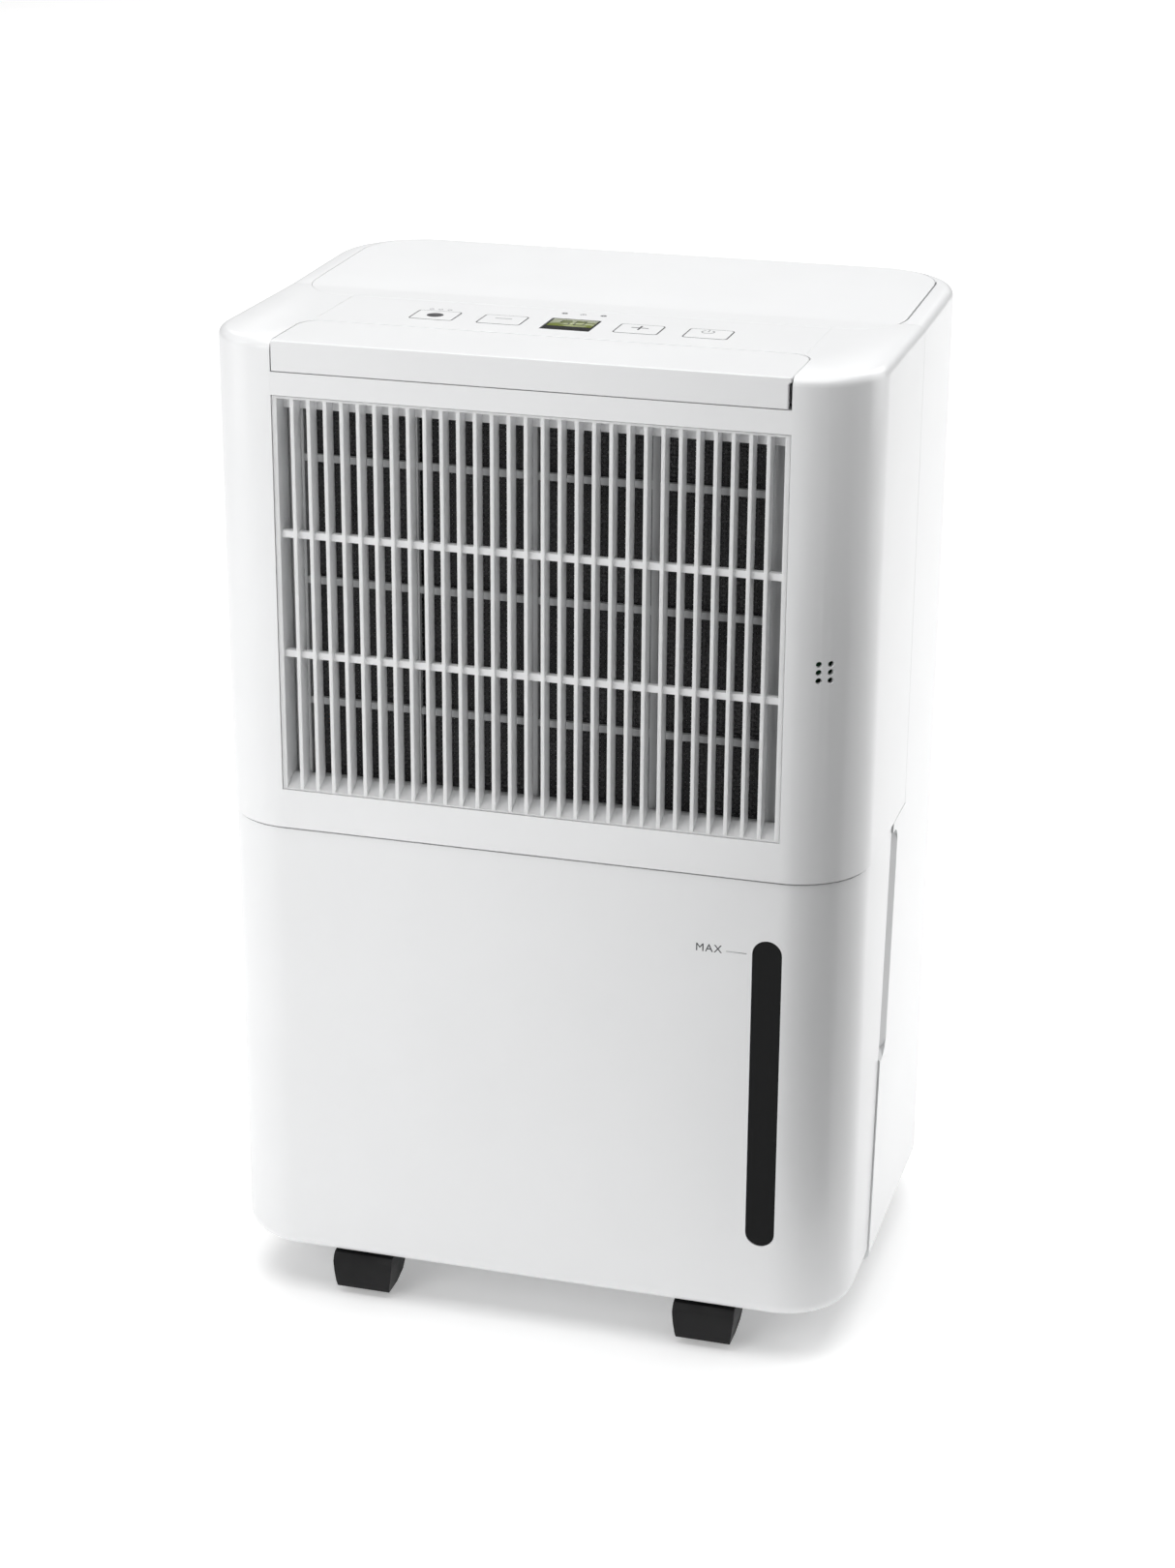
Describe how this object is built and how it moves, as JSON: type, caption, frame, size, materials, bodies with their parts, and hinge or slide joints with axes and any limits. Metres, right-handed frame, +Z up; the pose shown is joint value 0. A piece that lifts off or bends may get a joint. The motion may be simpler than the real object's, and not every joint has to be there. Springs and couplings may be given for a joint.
{
  "type": "dehumidifier",
  "caption": "Free-standing compressor dehumidifier with front intake grille, lift-out filter, slide-out water bucket, top controls and castors.",
  "frame": {"origin": "on the floor, under the middle of the bounding box", "axes": "+Z up; the front face with the intake grille and the bucket faces -Y; +X is to the right of someone who faces the front"},
  "size_m": [0.35, 0.258, 0.5475],
  "materials": {
    "white_shell": "satin gloss",
    "white_bucket": "satin",
    "filter_grey": "matt",
    "filter_net": "fine weave",
    "smoke_window": "polished",
    "display": "polished",
    "castor_black": "moulded",
    "rubber_black": "matt",
    "aluminium_fins": "mill",
    "copper_tube": "drawn",
    "steel_parts": "plated",
    "black_paint": "semi-gloss paint",
    "board_green": "circuit board",
    "inner_grey": "matt",
    "float_foam": "foam",
    "sensor_black": "moulded"
  },
  "bodies": {
    "housing": {"front_housing": "white_shell", "rear_housing": "white_shell", "top_cover": "white_shell", "intake_grille": "white_shell", "control_panel": "white_shell", "display_lens": "display", "control_board": "board_green", "bucket_sensor": "sensor_black", "base_pan": "inner_grey", "bulkhead": "inner_grey", "drain_pan": "inner_grey", "evaporator": "aluminium_fins", "condenser": "aluminium_fins", "compressor": "black_paint", "compressor_foot_1": "rubber_black", "compressor_foot_2": "rubber_black", "compressor_foot_3": "rubber_black", "accumulator": "copper_tube", "suction_pipe": "copper_tube", "discharge_pipe": "copper_tube", "capillary_tube": "copper_tube", "fan_shroud": "inner_grey", "fan_motor": "steel_parts", "outlet_grille": "white_shell", "electronics_box": "inner_grey", "power_board": "board_green", "run_capacitor": "steel_parts", "humidity_sensor": "board_green", "cord_gland": "rubber_black", "housing_screw_1": "steel_parts", "housing_screw_2": "steel_parts", "housing_screw_3": "steel_parts", "housing_screw_4": "steel_parts"},
    "filter": {"filter_frame": "filter_grey", "filter_mesh": "filter_net", "filter_grip": "white_shell"},
    "bucket": {"bucket": "white_bucket", "bucket_window": "smoke_window", "bucket_lid": "white_bucket"},
    "float": {"bucket_float": "float_foam"},
    "mode_button": {"button_mode": "white_shell"},
    "minus_button": {"button_minus": "white_shell"},
    "plus_button": {"button_plus": "white_shell"},
    "power_button": {"button_power": "white_shell"},
    "fan": {"fan_impeller": "inner_grey"},
    "plug": {"drain_plug": "rubber_black"},
    "yoke_front_left": {"castor_yoke_front_left": "castor_black"},
    "wheels_front_left": {"castor_wheels_front_left": "castor_black"},
    "yoke_front_right": {"castor_yoke_front_right": "castor_black"},
    "wheels_front_right": {"castor_wheels_front_right": "castor_black"},
    "yoke_rear_left": {"castor_yoke_rear_left": "castor_black"},
    "wheels_rear_left": {"castor_wheels_rear_left": "castor_black"},
    "yoke_rear_right": {"castor_yoke_rear_right": "castor_black"},
    "wheels_rear_right": {"castor_wheels_rear_right": "castor_black"}
  },
  "joints": [
    {"name": "filter_lift", "type": "slide", "parent": "housing", "child": "filter", "axis": [0, 0, 1], "range_m": [0, 0.25]},
    {"name": "bucket_slide", "type": "slide", "parent": "housing", "child": "bucket", "axis": [0, -1, 0], "range_m": [0, 0.13]},
    {"name": "float_hinge", "type": "hinge", "parent": "bucket", "child": "float", "pos_m": [-0.095, -0.027, 0.256], "axis": [-1, 0, 0], "range_deg": [0, 10]},
    {"name": "mode_press", "type": "slide", "parent": "housing", "child": "mode_button", "axis": [0, 0, -1], "range_m": [0, 0.001], "stiffness_N_per_m": 300},
    {"name": "minus_press", "type": "slide", "parent": "housing", "child": "minus_button", "axis": [0, 0, -1], "range_m": [0, 0.001], "stiffness_N_per_m": 300},
    {"name": "plus_press", "type": "slide", "parent": "housing", "child": "plus_button", "axis": [0, 0, -1], "range_m": [0, 0.001], "stiffness_N_per_m": 300},
    {"name": "power_press", "type": "slide", "parent": "housing", "child": "power_button", "axis": [0, 0, -1], "range_m": [0, 0.001], "stiffness_N_per_m": 300},
    {"name": "fan_spin", "type": "hinge", "parent": "housing", "child": "fan", "pos_m": [0, -0.021, 0.413], "axis": [0, 1, 0], "continuous": true},
    {"name": "plug_pull", "type": "slide", "parent": "housing", "child": "plug", "axis": [0, 1, 0], "range_m": [0, 0.03]},
    {"name": "swivel_front_left", "type": "hinge", "parent": "housing", "child": "yoke_front_left", "pos_m": [-0.098, -0.1025, 0.03], "axis": [0, 0, 1], "continuous": true},
    {"name": "roll_front_left", "type": "hinge", "parent": "yoke_front_left", "child": "wheels_front_left", "pos_m": [-0.098, -0.1085, 0.0125], "axis": [1, 0, 0], "continuous": true},
    {"name": "swivel_front_right", "type": "hinge", "parent": "housing", "child": "yoke_front_right", "pos_m": [0.098, -0.1025, 0.03], "axis": [0, 0, 1], "continuous": true},
    {"name": "roll_front_right", "type": "hinge", "parent": "yoke_front_right", "child": "wheels_front_right", "pos_m": [0.098, -0.1085, 0.0125], "axis": [1, 0, 0], "continuous": true},
    {"name": "swivel_rear_left", "type": "hinge", "parent": "housing", "child": "yoke_rear_left", "pos_m": [-0.098, 0.096, 0.03], "axis": [0, 0, 1], "continuous": true},
    {"name": "roll_rear_left", "type": "hinge", "parent": "yoke_rear_left", "child": "wheels_rear_left", "pos_m": [-0.098, 0.09, 0.0125], "axis": [1, 0, 0], "continuous": true},
    {"name": "swivel_rear_right", "type": "hinge", "parent": "housing", "child": "yoke_rear_right", "pos_m": [0.098, 0.096, 0.03], "axis": [0, 0, 1], "continuous": true},
    {"name": "roll_rear_right", "type": "hinge", "parent": "yoke_rear_right", "child": "wheels_rear_right", "pos_m": [0.098, 0.09, 0.0125], "axis": [1, 0, 0], "continuous": true}
  ]
}
